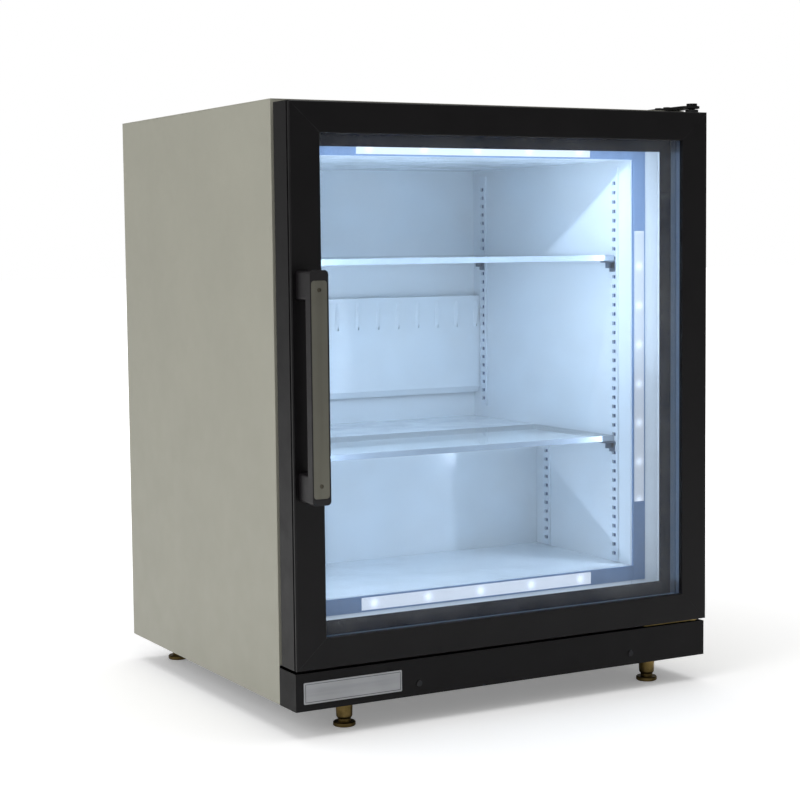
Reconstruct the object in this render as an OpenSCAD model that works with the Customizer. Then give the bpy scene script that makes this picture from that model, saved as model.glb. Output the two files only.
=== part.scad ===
// Countertop glass door merchandiser: an insulated cabinet with a self-contained cooling unit in a
// step at its lower back, and a hinged triple-glazed door.
// Row frame: +Z up, the door faces -Y, origin under the middle of the whole body at foot level.
// Every sub-part is drawn from the cabinet's own corner: x from its left side, y from the face of
// the door towards the back, z from the bottom of the kick plate. place() moves it to the row frame.

/* [Cabinet] */
// Outer width of the cabinet and the door
cab_w = 610; // [590:1:640]
// Depth of the cabinet behind the door gasket
cab_d = 491; // [480:1:520]
// Height of the cabinet without its feet
cab_h = 729; // [715:1:760]
// Thickness of an insulated side wall with its skins
wall_side = 61; // [55:1:65]
// Thickness of the insulated back wall with its skins
wall_back = 48; // [45:1:50]
// Height of the inner floor above the bottom of the cabinet
floor_z = 115; // [110:1:120]
// Height of the inner ceiling above the bottom of the cabinet
ceiling_z = 665; // [655:1:675]
// Thickness of the outer steel sheet
skin = 1; // [0.8:0.1:1.2]
// Thickness of the inner liner sheet
liner_t = 2; // [1.5:0.1:2.5]
// How far the light ledge stands back from the cabinet's front rim
ledge_back = 34.5; // [33:0.5:36]
// Width of the front rim that the gasket closes on
rim_w = 15; // [14:1:17]

/* [Machine step] */
// Depth of the inner step over the machine space, from the back of the cabinet
step_d = 221; // [215:1:225]
// Height of the top of the inner step
step_z = 290; // [285:1:295]
// Height of the machine space's ceiling
machine_z = 250; // [245:1:252]

/* [Door] */
// Thickness of the door frame
door_t = 42; // [40:1:44]
// Gap between the door frame and the cabinet's rim
gasket_gap = 8; // [7.5:0.1:9]
// Bottom edge of the door above the bottom of the cabinet
door_z = 50; // [49:0.5:52]
// Height of the door
door_h = 674; // [660:1:676]
// Face width of the door's side members
stile_w = 40; // [38:1:44]
// Face width of the door's top and bottom members
rail_w = 37; // [35:1:42]
// Distance of the hinge axis from the door's right edge
hinge_x_in = 13; // [13:0.5:14]
// Distance of the hinge axis behind the door's face
hinge_y = 16; // [16:0.5:17]
// Thickness of one glass pane
pane_t = 3.2; // [3:0.1:4]

/* [Handle] */
// Length of the handle
handle_len = 274; // [240:1:300]
// Height of the handle's lower end above the bottom of the cabinet
handle_z = 253; // [230:1:270]
// How far the handle stands out from the door's face
handle_out = 41; // [36:1:46]
// Width of the handle bar
handle_w = 24; // [22:1:26]

/* [Shelves] */
// Top face of the upper shelf
shelf_upper_z = 538; // [525:1:550]
// Top face of the lower shelf
shelf_lower_z = 291; // [289:1:292]
// Thickness of a glass shelf
shelf_t = 8; // [6:1:8]
// Distance between the slots of the shelf standards
slot_pitch = 12.7; // [12:0.1:14]

/* [Feet] */
// Height of the feet with the adjuster screwed right in
foot_h = 35; // [32:1:40]
// Radius of a foot's base flange
foot_r = 14; // [13:0.5:16]

/* [Hidden] */
$fn = 48;

// Places along the depth
cab_y = door_t + gasket_gap;
back_y = cab_y + cab_d;
total_d = handle_out + back_y;
ledge_y = cab_y + ledge_back;
liner_y = back_y - wall_back;
step_y = back_y - step_d;
machine_y = step_y + 35;
back_inset = 3;
sheet_y = back_y - back_inset - skin;
join = 0.1;
// Inner width of the cabinet
in_l = wall_side;
in_r = cab_w - wall_side;
// Light bars
bar_w = 20;
bar_t = 4;
bar_y = ledge_y - bar_t;
bar_back_t = 0.8;
board_t = 1;
chip_t = 0.5;
lens_t = 1.2;
lens_side_z = [203, 570];
lens_top_x = [130, 479];
chips_side = 6;
chips_top = 5;
chip_pitch_side = 53;
chip_pitch_top = 78.5;
// Shelf standards: width, thickness and the middle of each along the depth
std_w = 16;
std_t = 3;
std_front_y = 121;
std_rear_y = 463;
std_low_y = 290;
std_top_z = 656;
// Door
glaze_in = 11;
glaze_y = 7;
pane_gap = 9.2;
glass_t = 3 * pane_t + 2 * pane_gap;
hinge_x = cab_w - hinge_x_in;
door_top = door_z + door_h;
glass_x = [stile_w - glaze_in + 0.5, cab_w - stile_w + glaze_in - 0.5];
glass_z = [door_z + rail_w - glaze_in + 0.5, door_top - rail_w + glaze_in - 0.5];
pin_r = 4;
bush_r = 6;
pin_clear = 0.05;
// Machine space
pan_z = [14, 16];
fan_x = 118;
fan_y = 450;
fan_z = 118;
comp_x = 300;
comp_y = 450;
comp_z = pan_z[1] + 18;
drain = [409, 510];
tube_way = [500, 516];
way_r = 9;
coil_depth = [machine_y + 20, sheet_y - 8];
coil_tube_r = 4;
coil_x = [150, 535];
evap_fan_x = 128;
evap_z = [337, 476];
evap_front = liner_y - 17;
pocket_back = liner_y + 31;
box_x = [430, 590];
box_y = sheet_y - 5;
knob_x = 470;
switch_x = 520;
gland_x = 562;
panel_z = 66;
// Feet: middle of each
bracket_screw_x = 592;
foot_front = [85, 45];
foot_front_in = 65;
foot_rear = [52, 502];
stud_r = 5;
// Colours
paint_grey = [0.64, 0.63, 0.57];
black = [0.09, 0.085, 0.09];
white = [0.88, 0.91, 0.94];
zinc = [0.72, 0.73, 0.74];
copper = [0.72, 0.42, 0.27];
brass = [0.45, 0.37, 0.16];

module place() {
    translate([-cab_w / 2, handle_out - total_d / 2, foot_h]) children();
}

// A box between three pairs of low and high coordinates
module slab(x, y, z) {
    translate([x[0], y[0], z[0]]) cube([x[1] - x[0], y[1] - y[0], z[1] - z[0]]);
}

// Copies onto the other side of the cabinet
module both_sides() {
    children();
    translate([cab_w, 0, 0]) mirror([1, 0, 0]) children();
}

// A flat plate in x and z with round corners; it goes back from y by t
module round_plate(x, z, y, t, r) {
    translate([0, y + t, 0]) rotate([90, 0, 0]) linear_extrude(t) {
        translate([x[0] + r, z[0]]) square([x[1] - x[0] - 2 * r, z[1] - z[0]]);
        translate([x[0], z[0] + r]) square([x[1] - x[0], z[1] - z[0] - 2 * r]);
        for (cx = [x[0] + r, x[1] - r], cz = [z[0] + r, z[1] - r]) translate([cx, cz]) circle(r);
    }
}

// A cylinder along Y from y[0] to y[1]
module rod_y(x, z, y, r) {
    translate([x, y[1], z]) rotate([90, 0, 0]) cylinder(r = r, h = y[1] - y[0]);
}

// A cylinder along X from x[0] to x[1]
module rod_x(x, y, z, r) {
    translate([x[0], y, z]) rotate([0, 90, 0]) cylinder(r = r, h = x[1] - x[0]);
}

// ---- Cabinet shell ----

module side_skin() {
    slab([0, skin], [cab_y, back_y], [0, cab_h - skin]);
    slab([0, rim_w], [cab_y, cab_y + skin], [49, cab_h - skin]);
    slab([0, 12], [back_y - skin, back_y], [0, cab_h - skin]);
}

module side_panel_left() {
    color(paint_grey) place() side_skin();
}

module side_panel_right() {
    color(paint_grey) place() translate([cab_w, 0, 0]) mirror([1, 0, 0]) side_skin();
}

module top_panel() {
    rim = rim_w + join;
    color(paint_grey) place() difference() {
        union() {
            slab([0, cab_w], [cab_y, back_y], [cab_h - skin, cab_h]);
            slab([rim, cab_w - rim], [cab_y, cab_y + skin], [cab_h - rim_w, cab_h]);
            slab([rim, cab_w - rim], [back_y - skin, back_y], [cab_h - 12, cab_h]);
        }
        for (y = bracket_screw_y())
            translate([bracket_screw_x, y, cab_h - 3]) cylinder(r = 2.6, h = 5);
    }
}

function bracket_screw_y() = [64, 82];
function panel_screws() = [for (x = [22, 300, 588], z = [270, 700]) [x, z]];
function grille_screws() = [for (x = [14, 596], z = [30, 236]) [x, z]];

module back_panel() {
    color(zinc) place() difference() {
        slab([skin, cab_w - skin], [sheet_y, sheet_y + skin], [machine_z, cab_h - skin]);
        for (p = panel_screws()) rod_y(p[0], p[1], [sheet_y - 1, sheet_y + 2], 2);
    }
}

// Floor sheet, machine space front and ceiling, and the tray that carries the cooling unit
module bottom_panels() {
    color(zinc) place() {
        slab([skin, cab_w - skin], [cab_y + skin, machine_y - join], [48, 49]);
        slab([5, cab_w - 5], [machine_y, machine_y + skin], [3, machine_z]);
        difference() {
            slab(
                [skin, cab_w - skin], [machine_y + skin + join, sheet_y - join],
                [machine_z - skin, machine_z]
            );
            service_ways(machine_z - 2, 4);
        }
        slab([5, cab_w - 5], [machine_y + skin + join, sheet_y - 1], pan_z);
    }
}

// Holes for the tubes and the drain between the machine space and the evaporator
module service_ways(z, h) {
    for (p = [tube_way, drain]) translate([p[0], p[1], z]) cylinder(r = way_r, h = h);
}

// Four welded channels; the feet screw up through the front and rear ones
module base_frame() {
    color([0.2, 0.2, 0.21]) place() difference() {
        union() {
            cross_rail([22, 68]);
            cross_rail([478, 534]);
            for (x = [[2, 40], [cab_w - 40, cab_w - 2]]) {
                slab(x, [68 + join, 478 - join], [0, 2.5]);
                slab([x[0] == 2 ? 2 : x[1] - 2.5, x[0] == 2 ? 4.5 : x[1]], [68 + join, 478 - join], [0, 44]);
            }
        }
        for (p = foot_places()) translate([p[0], p[1], -1]) cylinder(r = stud_r + 1, h = 6);
    }
}

module cross_rail(y) {
    high = y[0] < machine_y ? 44 : pan_z[0] - join;
    slab([2, cab_w - 2], y, [0, 2.5]);
    slab([2, cab_w - 2], [y[0], y[0] + 2.5], [0, high]);
    slab([2, cab_w - 2], [y[1] - 2.5, y[1]], [0, high]);
}

module kick_plate() {
    color(black) place() {
        difference() {
            slab([0, cab_w], [4.5, 6], [0, 46]);
            for (x = kick_screw_x()) rod_y(x, 15, [4, 7], 2);
        }
        slab([0, 1.5], [4.5, cab_y - 0.5], [0, 46]);
        slab([cab_w - 1.5, cab_w], [4.5, cab_y - 0.5], [0, 46]);
        slab([0, cab_w], [4.5, 21], [0, 1.5]);
    }
}

function kick_screw_x() = [169, 489];

module badge_plate() {
    color([0.75, 0.76, 0.77]) place() round_plate([10, 144], [8.5, 35], 3.3, 1.2, 1.5);
}

// The plastic frame between the steel rim and the liner: a step wall and a ledge on each side
module front_frame() {
    wall_t = 2;
    color(white) place() {
        both_sides() {
            slab([rim_w, rim_w + wall_t], [cab_y, ledge_y + wall_t], [65, cab_h - rim_w]);
            slab([rim_w, in_l], [ledge_y, ledge_y + wall_t], [65, cab_h - rim_w]);
        }
        for (z = [[65 + join, floor_z], [ceiling_z, cab_h - rim_w - join]]) {
            step = z[0] < ceiling_z ? [z[0], z[0] + wall_t] : [z[1] - wall_t, z[1]];
            slab([in_l + join, in_r - join], [ledge_y, ledge_y + wall_t], z);
            slab([in_l + join, in_r - join], [cab_y + skin, ledge_y + wall_t], step);
        }
    }
}

// Seven panels with open seams: two sides, ceiling, floor, step front, step top and back
module liner_panels() {
    front = ledge_y + 2 + join;
    high = ceiling_z;
    color(white) place() {
        both_sides() {
            slab(
                [in_l - liner_t, in_l], [front, step_y + liner_t],
                [floor_z - liner_t, high + liner_t]
            );
            slab([in_l - liner_t, in_l], [front, liner_y], [step_z - liner_t, high + liner_t]);
        }
        slab([in_l + join, in_r - join], [front, liner_y], [high, high + liner_t]);
        slab([in_l + join, in_r - join], [front, step_y - join], [floor_z - liner_t, floor_z]);
        slab(
            [in_l + join, in_r - join], [step_y, step_y + liner_t],
            [floor_z - liner_t, step_z - liner_t - join]
        );
        slab([in_l + join, in_r - join], [step_y, liner_y - join], [step_z - liner_t, step_z]);
        liner_back();
    }
}

// The back panel has a pocket that holds the evaporator
module liner_back() {
    x = [coil_x[0] - 75, coil_x[1] + 10];
    z = [evap_z[0] + 5, evap_z[1] - 5];
    difference() {
        union() {
            slab(
                [in_l - liner_t, in_r + liner_t], [liner_y + join, liner_y + liner_t],
                [step_z - liner_t, ceiling_z + liner_t]
            );
            slab(x, [liner_y + join, pocket_back], z);
        }
        slab(
            [x[0] + liner_t, x[1] - liner_t], [liner_y - 1, pocket_back - liner_t],
            [z[0] + liner_t, z[1] - liner_t]
        );
        service_ways(z[0] - 1, 5);
    }
}

// One body of foam between the skins, drawn as the space that is left
module foam_insulation() {
    g = join;
    outer = [skin + g, cab_w - skin - g];
    inner = [in_l - liner_t - g, in_r + liner_t + g];
    color([0.86, 0.78, 0.55]) place() difference() {
        union() {
            slab(outer, [ledge_y + 2 + g, sheet_y - g], [machine_z + g, cab_h - skin - g]);
            slab(outer, [ledge_y + 2 + g, machine_y - g], [49 + g, machine_z + 1]);
            both_sides()
                slab([skin + g, rim_w - g], [cab_y + skin + g, ledge_y + 3], [49 + g, cab_h - skin - g]);
        }
        slab(
            inner, [ledge_y, liner_y + liner_t + g],
            [step_z - liner_t - g, ceiling_z + liner_t + g]
        );
        slab(inner, [ledge_y, step_y + liner_t + g], [floor_z - liner_t - g, step_z]);
        slab(
            [coil_x[0] - 75 - g, coil_x[1] + 10 + g], [liner_y, pocket_back + g],
            [evap_z[0] + 5 - g, evap_z[1] - 5 + g]
        );
        service_ways(machine_z - 1, evap_z[0] - machine_z + 10);
    }
}

// ---- Inside fittings ----

module standard(y, z) {
    n = floor((z[1] - z[0] - 8) / slot_pitch);
    translate([in_l + std_t, y, z[0]]) rotate([0, -90, 0]) linear_extrude(std_t - join) difference() {
        translate([0, -std_w / 2]) square([z[1] - z[0], std_w]);
        for (i = [0 : n - 1]) translate([8.5 + i * slot_pitch, -4]) square([5, 8]);
    }
}

module pilasters() {
    color(white) place() both_sides() {
        standard(std_front_y, [floor_z + 1, std_top_z]);
        standard(std_rear_y, [step_z + 18, std_top_z]);
        standard(std_low_y, [floor_z + 1, step_z - 7]);
    }
}

// A clip hooks over its standard and carries a corner of a shelf on a short arm
module clip(y, top) {
    slab([in_l + std_t + join, in_l + std_t + 2], [y - 6, y + 6], [top - 15, top]);
    slab([in_l + std_t + join, in_l + std_t + 17], [y - 6, y + 6], [top - 2.5, top]);
    slab([in_l + std_t + join, in_l + std_t + 12], [y - 1, y + 1], [top - 10, top]);
}

module shelf_clips() {
    upper = shelf_upper_z - shelf_t;
    lower = shelf_lower_z - shelf_t;
    color([0.6, 0.62, 0.65]) place() both_sides() {
        clip(std_front_y + 2, upper);
        clip(std_rear_y, upper);
        clip(std_front_y + 3, lower);
        clip(std_low_y, lower);
    }
}

module shelf_upper() {
    x_gap = std_t + 2;
    color([0.85, 0.92, 0.95]) place()
        slab([in_l + x_gap, in_r - x_gap], [117, 478], [shelf_upper_z - shelf_t, shelf_upper_z]);
}

module shelf_lower() {
    x_gap = std_t + 2;
    color([0.85, 0.92, 0.95]) place()
        slab([in_l + x_gap, in_r - x_gap], [120, step_y - 4], [shelf_lower_z - shelf_t, shelf_lower_z]);
}

// ---- Lighting: a bar on each side of the opening, its lens shorter than the bar ----

// An upright bar at the left side; the same bar, turned, serves the top and bottom
module bar_left(depth, x, z) {
    slab([in_l - bar_w + x[0], in_l - bar_w + x[1]], depth, z);
}

module bar_level(depth, z, x, top) {
    low = top ? ceiling_z : floor_z - bar_w;
    slab(x, depth, [low + z[0], low + z[1]]);
}

module led_channels() {
    front = [bar_y, ledge_y - join];
    well = [bar_y - 1, ledge_y - bar_back_t];
    well_w = [2, bar_w - 2];
    color([0.8, 0.82, 0.86]) place() {
        both_sides() difference() {
            bar_left(front, [0, bar_w], [floor_z - bar_w, ceiling_z + bar_w]);
            bar_left(well, well_w, lens_side_z);
        }
        for (top = [true, false]) difference() {
            bar_level(front, [0, bar_w], [in_l + join, in_r - join], top);
            bar_level(well, well_w, lens_top_x, top);
        }
    }
}

module led_boards() {
    board = [ledge_y - bar_back_t - board_t, ledge_y - bar_back_t];
    chip = [board[0] - chip_t, board[0] + join];
    mid = bar_w / 2;
    inner = 1;
    color([0.95, 0.95, 0.9]) place() {
        both_sides() {
            bar_left(board, [4, bar_w - 4], [lens_side_z[0] + inner, lens_side_z[1] - inner]);
            for (i = [0 : chips_side - 1]) {
                z = centred(lens_side_z, chips_side, chip_pitch_side, i);
                bar_left(chip, [mid - 2.5, mid + 2.5], [z - 2.5, z + 2.5]);
            }
        }
        for (top = [true, false]) {
            bar_level(board, [4, bar_w - 4], [lens_top_x[0] + inner, lens_top_x[1] - inner], top);
            for (i = [0 : chips_top - 1]) {
                x = centred(lens_top_x, chips_top, chip_pitch_top, i);
                bar_level(chip, [mid - 2.5, mid + 2.5], [x - 2.5, x + 2.5], top);
            }
        }
    }
}

// Middle of item i of n items spread evenly over a span
function spread(span, n, i) = span[0] + (span[1] - span[0]) * (i + 0.5) / n;

// Middle of item i of n items at a fixed pitch about the middle of a span
function centred(span, n, pitch, i) = (span[0] + span[1]) / 2 + (i - (n - 1) / 2) * pitch;

module led_lenses() {
    depth = [bar_y, bar_y + lens_t];
    lens_w = [2 + join, bar_w - 2 - join];
    color([0.97, 0.98, 1]) place() {
        both_sides() bar_left(depth, lens_w, [lens_side_z[0] + join, lens_side_z[1] - join]);
        for (top = [true, false])
            bar_level(depth, lens_w, [lens_top_x[0] + join, lens_top_x[1] - join], top);
    }
}

// ---- Evaporator ----

module evaporator_cover() {
    x = [coil_x[0] - 82, coil_x[1] + 12];
    t = 1.5;
    outlets = 11;
    color(white) place() difference() {
        slab(x, [evap_front, liner_y - join], evap_z);
        slab([x[0] + t, x[1] - t], [evap_front + t, liner_y + 1], [evap_z[0] + t, evap_z[1] - t]);
        for (i = [0 : outlets - 1])
            slab([x[1] - 8 - i * 34, x[1] - 4 - i * 34], [evap_front - 1, evap_front + t + 1], [429, 470]);
        for (i = [0 : 12])
            slab(
                [x[0] + 120 + i * 26, x[0] + 140 + i * 26], [evap_front + 4, liner_y - 4],
                [evap_z[0] - 1, evap_z[0] + t + 1]
            );
        rod_y(evap_fan_x, 406, [evap_front - 1, evap_front + t + 1], 42);
    }
}

module evaporator_coil() {
    y = [liner_y - 10, pocket_back - 6];
    z = [evap_z[0] + 14, evap_z[1] - 14];
    x = [coil_x[0] + 60, coil_x[1] - 20];
    fins = 26;
    color([0.8, 0.82, 0.84]) place() {
        for (i = [0 : fins - 1]) {
            fx = spread(x, fins, i);
            slab([fx - 0.3, fx + 0.3], y, z);
        }
        for (i = [0 : 3], row = [0, 1])
            rod_x([x[0] - 8, x[1] + 8], y[0] + 9 + row * 18, z[0] + 14 + i * 27.6, coil_tube_r);
    }
}

module evaporator_fan_motor() {
    mid_z = 406;
    arm = pocket_back - liner_t - join;
    color([0.12, 0.12, 0.13]) place() {
        rod_y(evap_fan_x, mid_z, [liner_y + 6, pocket_back - 5], 16);
        rod_y(evap_fan_x, mid_z, [liner_y - 8, liner_y + 7], 1.5);
        slab([evap_fan_x - 44, evap_fan_x + 44], [arm - 5, arm], [mid_z - 5, mid_z + 5]);
    }
}

// A hub on a shaft with pitched blades, about the Y axis, with its front at y
module fan_rotor(r, hub_r, hub_t, blades, shaft_r, pitch) {
    difference() {
        union() {
            cylinder(r = hub_r, h = hub_t);
            for (i = [0 : blades - 1]) rotate(i * 360 / blades)
                translate([hub_r - 1, 0, hub_t / 2]) rotate([pitch, 0, 0])
                    translate([0, -hub_r * 0.8, -0.6]) cube([r - hub_r, hub_r * 1.6, 1.2]);
        }
        translate([0, 0, -1]) cylinder(r = shaft_r + pin_clear, h = hub_t + 2);
    }
}

module evaporator_fan_blade() {
    color([0.85, 0.85, 0.85]) place() translate([evap_fan_x, liner_y + 4, 406]) rotate([90, 0, 0])
        fan_rotor(36, 11, 9, 5, 1.5, 24);
}

module drain_tube() {
    z = [pan_z[1] + 14, evap_z[0] + 12];
    color([0.8, 0.8, 0.78]) place() translate([drain[0], drain[1], z[0]]) difference() {
        cylinder(r = 7, h = z[1] - z[0]);
        translate([0, 0, -1]) cylinder(r = 5, h = z[1] - z[0] + 2);
    }
}

// ---- Cooling unit in the machine space ----

module condensate_pan() {
    x = [390, 427];
    y = [machine_y + 10, sheet_y - 12];
    color([0.16, 0.16, 0.17]) place() difference() {
        slab(x, y, [pan_z[1] + join, pan_z[1] + 14]);
        slab([x[0] + 2, x[1] - 2], [y[0] + 2, y[1] - 2], [pan_z[1] + 2, pan_z[1] + 15]);
    }
}

module compressor() {
    base = comp_z;
    color(black) place() {
        difference() {
            slab([comp_x - 85, comp_x + 85], [comp_y - 34, comp_y + 66], [base, base + 3]);
            for (p = grommet_places()) translate([p[0], p[1], base - 1]) cylinder(r = 4.2, h = 5);
        }
        translate([comp_x, comp_y + 16, base + 3 - 0.5]) rotate_extrude($fn = 64) polygon([
            [0, 0], [46, 0], [56, 8], [58, 20], [58, 62], [62, 62], [62, 66], [58, 66],
            [57, 96], [50, 112], [36, 122], [0, 126]
        ]);
        slab([comp_x - 20, comp_x + 20], [comp_y - 56, comp_y - 36], [base + 36, base + 76]);
        slab([comp_x - 12, comp_x + 12], [comp_y - 40, comp_y - 20], [base + 44, base + 68]);
    }
}

function grommet_places() = [
    for (sx = [-1, 1], sy = [-24, 56]) [comp_x + sx * 74, comp_y + sy]
];

module compressor_grommets() {
    color([0.1, 0.1, 0.1]) place() for (p = grommet_places()) translate([p[0], p[1], pan_z[1]])
        difference() {
            union() {
                cylinder(r = 10, h = 18);
                cylinder(r = 4.1, h = 24);
            }
            translate([0, 0, -1]) cylinder(r = 3, h = 30);
        }
}

module condenser_coil() {
    x = [50, 100];
    y = coil_depth;
    z = [pan_z[1] + join, 215];
    fins = 30;
    color([0.3, 0.31, 0.32]) place() {
        for (i = [0 : fins - 1]) {
            fy = spread(y, fins, i);
            slab(x, [fy - 0.3, fy + 0.3], z);
        }
        for (i = [0 : 5], row = [0, 1])
            rod_y(x[0] + 13 + row * 24, pan_z[1] + 20 + i * 31, [y[0] - 5, y[1] + 5], coil_tube_r);
    }
}

module fan_shroud() {
    color([0.25, 0.25, 0.26]) place() difference() {
        union() {
            slab([102, 104], coil_depth, [pan_z[1] + join, 215]);
            rod_x([103, 118], fan_y, fan_z, 79);
        }
        rod_x([101, 120], fan_y, fan_z, 77);
    }
}

module condenser_fan_motor() {
    color([0.15, 0.15, 0.16]) place() {
        rod_x([fan_x + 24, fan_x + 72], fan_y, fan_z, 30);
        rod_x([fan_x - 6, fan_x + 25], fan_y, fan_z, 3);
        slab([fan_x + 40, fan_x + 56], [fan_y - 20, fan_y + 20], [pan_z[1] + join, fan_z]);
    }
}

module condenser_fan_blade() {
    color([0.75, 0.76, 0.78]) place() translate([fan_x - 4, fan_y, fan_z]) rotate([0, 90, 0])
        fan_rotor(72, 18, 16, 5, 3, 26);
}

module filter_drier() {
    color(copper) place() translate([215, 385, 60]) rotate_extrude() polygon([
        [0, 0], [4, 0], [4, 12], [11, 22], [11, 100], [4, 110], [4, 122], [0, 122]
    ]);
}

// A tube swept along a list of points: rings square to the path, joined and capped
module swept_tube(path, r) {
    n = len(path);
    sides = 10;
    ref = [0.31, 0.52, 0.8];
    rings = [for (i = [0 : n - 1])
        let (
            along = path[min(i + 1, n - 1)] - path[max(i - 1, 0)],
            u = cross(along, ref) / norm(cross(along, ref)),
            v = cross(along, u) / norm(cross(along, u))
        )
        for (k = [0 : sides - 1]) path[i] + r * (cos(360 * k / sides) * u + sin(360 * k / sides) * v)
    ];
    walls = [for (i = [0 : n - 2], k = [0 : sides - 1])
        let (a = i * sides + k, b = i * sides + (k + 1) % sides)
        [a, b, b + sides, a + sides]
    ];
    cap = [for (k = [0 : sides - 1]) k];
    end_cap = [for (k = [sides - 1 : -1 : 0]) (n - 1) * sides + k];
    polyhedron(points = rings, faces = concat([end_cap, cap], walls));
}

// A corner-cutting step makes a path of straight legs into one with round bends
function rounded(path) = concat(
    [path[0]],
    [for (i = [0 : len(path) - 2]) for (t = [0.22, 0.78]) path[i] * (1 - t) + path[i + 1] * t],
    [path[len(path) - 1]]
);

module refrigerant_tubes() {
    coil_end = coil_depth[0] - 5.1;
    high = 196;
    discharge = [
        [300, 440, comp_z + 125], [300, 420, 188], [240, 390, 214], [150, 368, 212],
        [95, 363, high], [87, 365, 191], [87, coil_end, 191]
    ];
    liquid = [
        [87, coil_end, 36], [88, 364, 36], [100, 362, 36], [180, 364, 34], [212, 374, 36],
        [215, 385, 46], [215, 385, 60]
    ];
    capillary = [
        [215, 385, 182], [215, 390, high], [280, 440, 222], [440, 505, 216], [488, 514, 220],
        [496, 514, 230], [496, 514, 244], [496, 514, 350]
    ];
    suction = [
        [357, 466, 104], [378, 468, 108], [386, 476, 130], [400, 480, 190], [480, 510, 212],
        [502, 516, 222], [504, 516, 236], [504, 516, 350]
    ];
    color(copper) place() {
        swept_tube(rounded(rounded(discharge)), 3.2);
        swept_tube(rounded(rounded(liquid)), 3.2);
        swept_tube(rounded(rounded(capillary)), 1.5);
        swept_tube(rounded(rounded(suction)), 4);
    }
}

// ---- Controls at the back ----

module control_box() {
    t = 1.5;
    color([0.7, 0.71, 0.72]) place() difference() {
        slab(box_x, [box_y - 60, box_y], [22, 112]);
        slab([box_x[0] + t, box_x[1] - t], [box_y - 60 + t, box_y - t], [22 + t, 112 - t]);
        rod_y(knob_x, panel_z, [box_y - 5, box_y + 1], 3.3);
        rod_y(gland_x, panel_z, [box_y - 5, box_y + 1], 7);
        slab([switch_x - 8, switch_x + 8], [box_y - 5, box_y + 1], [panel_z - 12, panel_z + 12]);
    }
}

// A ring that lines the power lead's way into the box
module cord_gland() {
    color(black) place() difference() {
        union() {
            rod_y(gland_x, panel_z, [box_y - 9, box_y + 6], 7);
            rod_y(gland_x, panel_z, [box_y, box_y + 4], 10);
        }
        rod_y(gland_x, panel_z, [box_y - 10, box_y + 7], 4.2);
    }
}

module thermostat_knob() {
    color(black) place() difference() {
        union() {
            rod_y(knob_x, panel_z, [box_y - 8, box_y + 1], 3);
            rod_y(knob_x, panel_z, [box_y + 0.3, box_y + 8], 15);
        }
        slab([knob_x - 1, knob_x + 1], [box_y + 7, box_y + 9], [panel_z + 4, panel_z + 16]);
    }
}

// The rocker turns about an axis along X; its ends are arcs about that axis
module light_switch() {
    r = 11.4;
    color([0.75, 0.12, 0.1]) place() translate([switch_x - 7.4, box_y - 1, panel_z])
        rotate([90, 0, 90]) linear_extrude(14.8) intersection() {
            circle(r);
            polygon([[-6, -9], [2.2, -12], [2.2, 0], [5.4, 12], [-6, 9]]);
        }
}

module rear_grille() {
    color(zinc) place() difference() {
        slab([skin + 0.5, cab_w - skin - 0.5], [sheet_y, sheet_y + skin], [4, machine_z - 0.5]);
        for (p = grille_screws()) rod_y(p[0], p[1], [sheet_y - 1, sheet_y + 2], 2);
        for (x = [40, 150, 260, 370, 480], row = [0 : 9])
            if (row > 4 || x < 370)
                slab([x, x + 90], [sheet_y - 1, sheet_y + 2], [32 + row * 20, 38 + row * 20]);
        slab([box_x[0] + 14, box_x[1] - 12], [sheet_y - 1, sheet_y + 2], [34, 98]);
    }
}

// ---- Hinges, fasteners and feet ----

module top_hinge_bracket() {
    plate = [cab_h + 0.3, cab_h + 3.3];
    color(black) place() {
        difference() {
            union() {
                slab([578, 606], [hinge_y, 92], plate);
                translate([hinge_x - 5, hinge_y, plate[0]]) cylinder(r = 14, h = 3);
            }
            for (y = bracket_screw_y()) translate([bracket_screw_x, y, cab_h]) cylinder(r = 2.6, h = 5);
        }
        translate([hinge_x, hinge_y, door_top - 17]) cylinder(r = pin_r, h = plate[0] - door_top + 18);
        translate([hinge_x, hinge_y, plate[1] - 0.1]) cylinder(r = 7, h = 3.8);
    }
}

module bottom_hinge_bracket() {
    plate = [46.3, 49.2];
    color([0.72, 0.66, 0.45]) place() {
        slab([515, 592], [10, 49], plate);
        slab([515, 604], [16, 49], plate);
        translate([hinge_x, hinge_y, plate[0]]) cylinder(r = 8, h = plate[1] - plate[0]);
        slab([515, 604], [46.6, 49], [30, plate[1]]);
        translate([hinge_x, hinge_y, plate[1] - 0.5]) cylinder(r = pin_r, h = 22);
    }
}

// Pan-head screws: the kick plate, the top hinge, the back panel and the grille
module screw_y(x, z, y, out) {
    back = out < 0;
    rod_y(x, z, back ? [y, y + 9] : [y - 9, y], 1.9);
    rod_y(x, z, back ? [y - 1.1, y] : [y, y + 1.8], 3.8);
}

module cabinet_screws() {
    color([0.5, 0.5, 0.52]) place() {
        for (x = kick_screw_x()) screw_y(x, 15, 4.5, -1);
        for (y = bracket_screw_y()) translate([bracket_screw_x, y, cab_h + 3.3]) {
            cylinder(r = 4.5, h = 2.2);
            translate([0, 0, -12]) cylinder(r = 2.5, h = 13);
        }
        for (p = concat(panel_screws(), grille_screws())) screw_y(p[0], p[1], sheet_y + skin, 1);
    }
}

function foot_places() = [
    foot_front,
    [cab_w - foot_front_in, foot_front[1]],
    foot_rear,
    [cab_w - foot_rear[0], foot_rear[1]]
];

// Threaded sockets fixed on the base frame
module foot_sockets() {
    color(zinc) place() for (p = foot_places()) translate([p[0], p[1], 2.5 + join])
        difference() {
            cylinder(r = 9, h = pan_z[0] - 3);
            translate([0, 0, -1]) cylinder(r = stud_r + 0.3, h = 20);
        }
}

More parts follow.
